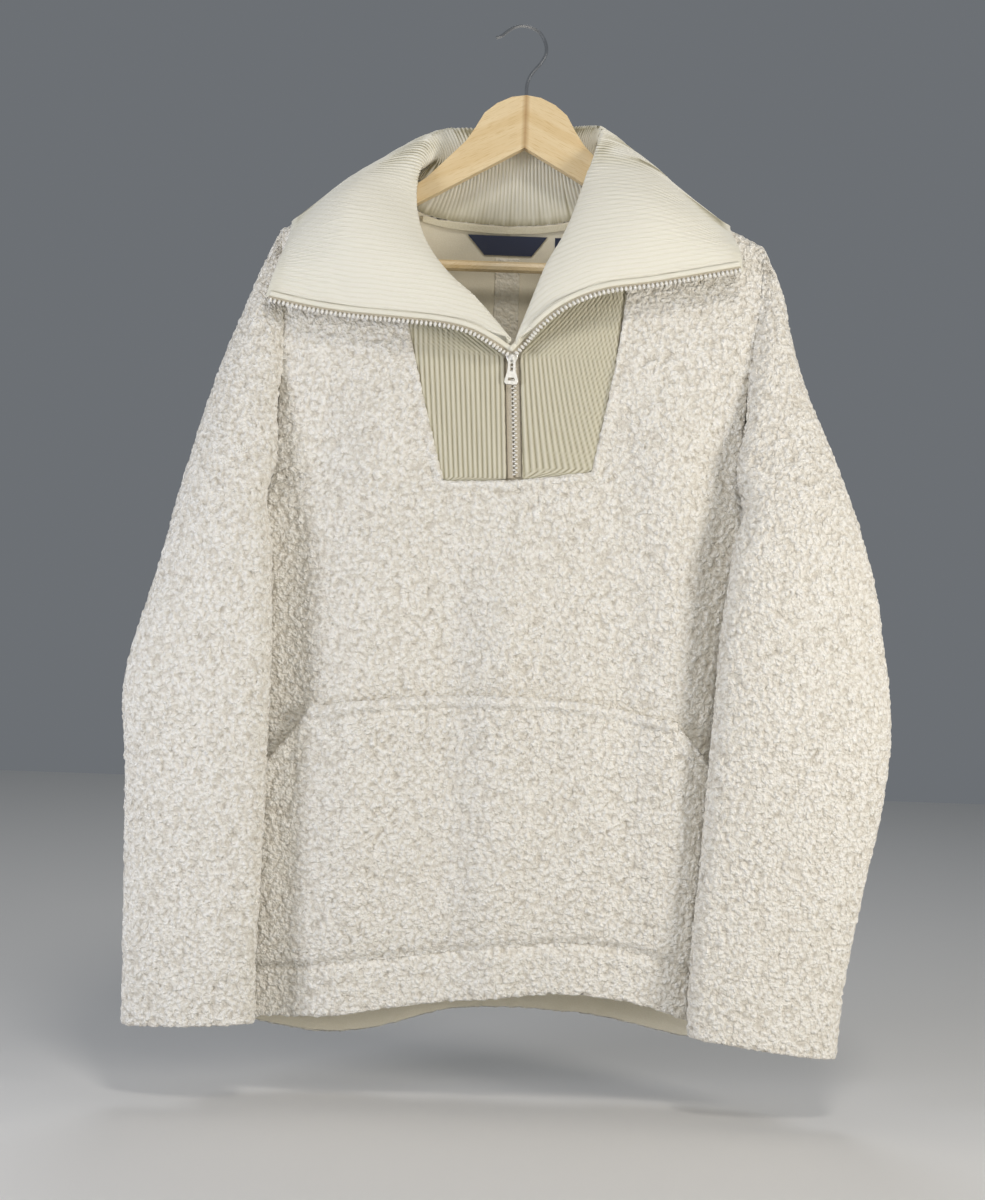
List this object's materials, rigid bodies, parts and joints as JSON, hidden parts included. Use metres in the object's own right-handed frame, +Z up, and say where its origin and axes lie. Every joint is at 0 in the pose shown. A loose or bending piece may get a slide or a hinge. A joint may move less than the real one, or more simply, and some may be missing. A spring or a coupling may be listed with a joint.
{
  "type": "fleece pullover on a hanger",
  "caption": "Cream sherpa fleece pullover with a wide fold-down rib collar, a part-open front zip and a front pocket, hung on a wooden hanger with a wire hook.",
  "frame": {"origin": "inner top of the hook's bend, where the hook rests on a rail", "axes": "+Z up, -Y towards the garment's front, +X towards the side at the viewer's right when the front is faced"},
  "size_m": [0.6746, 0.1313, 0.9173],
  "materials": {
    "sherpa_fleece": "matte",
    "rib_knit": "matte",
    "zip_tape": "matte",
    "neck_tape": "matte",
    "label_cloth": "matte",
    "zip_metal": "satin",
    "beech": "satin",
    "hook_wire": "polished"
  },
  "bodies": {
    "garment": {"front": "sherpa_fleece", "back_left": "sherpa_fleece", "back_right": "sherpa_fleece", "sleeve_left": "sherpa_fleece", "sleeve_right": "sherpa_fleece", "pocket": "sherpa_fleece", "bib_left": "rib_knit", "bib_right": "rib_knit", "collar": "rib_knit", "zip_edge_left": "zip_tape", "zip_edge_right": "zip_tape", "zip_tape_left": "zip_tape", "zip_tape_right": "zip_tape", "neck_tape": "neck_tape", "neck_label": "label_cloth", "size_tab": "label_cloth", "zip_slider": "zip_metal", "hanger_wood": "beech", "hanger_bar": "beech", "hanger_hook": "hook_wire"},
    "pull": {"zip_pull": "zip_metal"}
  },
  "joints": [
    {"name": "zip_pull_hinge", "type": "hinge", "parent": "garment", "child": "pull", "pos_m": [0.001, -0.0446, -0.3022], "axis": [-1, 0, 0], "range_deg": [0, 100]}
  ]
}
